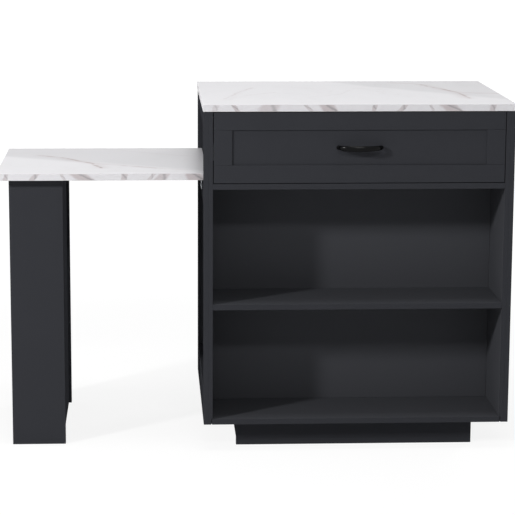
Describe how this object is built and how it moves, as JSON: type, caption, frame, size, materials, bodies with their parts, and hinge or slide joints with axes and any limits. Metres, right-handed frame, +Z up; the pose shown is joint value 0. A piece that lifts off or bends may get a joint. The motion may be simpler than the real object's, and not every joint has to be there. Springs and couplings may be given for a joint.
{
  "type": "kitchen island unit",
  "caption": "Free-standing kitchen island with a wide drawer over open bays, a cupboard behind and a lower side table on a boxed leg.",
  "frame": {"origin": "on the floor, under the middle of the whole unit's box", "axes": "front faces -Y, +X to the right seen from the front, +Z up"},
  "size_m": [1.362, 0.66, 0.93],
  "materials": {
    "dark_paint": "satin anthracite paint on fibreboard",
    "marble_laminate": "satin pale marble print on particle board",
    "drawer_board": "matt pale grey melamine on particle board",
    "zinc_steel": "zinc-plated sheet steel",
    "black_metal": "satin black coating",
    "beech": "raw beech"
  },
  "bodies": {
    "cabinet": {"worktop": "marble_laminate", "left_side_panel": "dark_paint", "left_front_stile": "dark_paint", "left_rear_stile": "dark_paint", "left_top_rail": "dark_paint", "left_bottom_rail": "dark_paint", "right_side_panel": "dark_paint", "right_front_stile": "dark_paint", "right_rear_stile": "dark_paint", "right_top_rail": "dark_paint", "right_bottom_rail": "dark_paint", "bottom_board": "dark_paint", "open_shelf": "dark_paint", "divider_board": "dark_paint", "partition_panel": "dark_paint", "rear_fascia": "dark_paint", "front_stretcher": "dark_paint", "plinth_front_board": "dark_paint", "plinth_rear_board": "dark_paint", "plinth_side_boards": "dark_paint", "cupboard_shelf": "dark_paint", "shelf_pins": "zinc_steel", "cam_discs": "zinc_steel", "cam_bolts": "zinc_steel", "dowels": "beech", "door_catches": "black_metal", "table_top": "marble_laminate", "table_support_rail": "dark_paint", "table_brackets": "zinc_steel", "table_screws": "zinc_steel", "leg_front_board": "dark_paint", "leg_rear_board": "dark_paint", "leg_left_board": "dark_paint", "leg_right_board": "dark_paint", "leg_top_block": "beech", "left_cabinet_runner": "zinc_steel", "right_cabinet_runner": "zinc_steel", "cabinet_hinge_leaves": "zinc_steel"},
    "left_runner_rail": {"left_middle_runner": "zinc_steel"},
    "right_runner_rail": {"right_middle_runner": "zinc_steel"},
    "drawer": {"drawer_top_rail": "dark_paint", "drawer_bottom_rail": "dark_paint", "drawer_left_stile": "dark_paint", "drawer_right_stile": "dark_paint", "drawer_front_panel": "dark_paint", "drawer_left_side": "drawer_board", "drawer_right_side": "drawer_board", "drawer_back": "drawer_board", "drawer_bottom": "drawer_board", "drawer_handle": "black_metal", "left_drawer_runner": "zinc_steel", "right_drawer_runner": "zinc_steel"},
    "left_door": {"left_door_frame": "dark_paint", "left_door_panel": "dark_paint", "left_door_handle": "black_metal", "left_door_hinge_leaves": "zinc_steel"},
    "right_door": {"right_door_frame": "dark_paint", "right_door_panel": "dark_paint", "right_door_handle": "black_metal", "right_door_hinge_leaves": "zinc_steel"}
  },
  "joints": [
    {"name": "drawer_slide", "type": "slide", "parent": "cabinet", "child": "drawer", "axis": [0, -1, 0], "range_m": [0, 0.43]},
    {"name": "left_runner_slide", "type": "slide", "parent": "cabinet", "child": "left_runner_rail", "axis": [0, -1, 0], "range_m": [0, 0.215]},
    {"name": "right_runner_slide", "type": "slide", "parent": "cabinet", "child": "right_runner_rail", "axis": [0, -1, 0], "range_m": [0, 0.215]},
    {"name": "left_door_hinge", "type": "hinge", "parent": "cabinet", "child": "left_door", "pos_m": [-0.112, 0.2997, 0.3975], "axis": [0, 0, 1], "range_deg": [0, 170]},
    {"name": "right_door_hinge", "type": "hinge", "parent": "cabinet", "child": "right_door", "pos_m": [0.654, 0.2997, 0.3975], "axis": [0, 0, -1], "range_deg": [0, 170]}
  ],
  "couplings": [
    {"joint": "left_runner_slide", "follows": "drawer_slide", "ratio": 0.5},
    {"joint": "right_runner_slide", "follows": "drawer_slide", "ratio": 0.5}
  ]
}
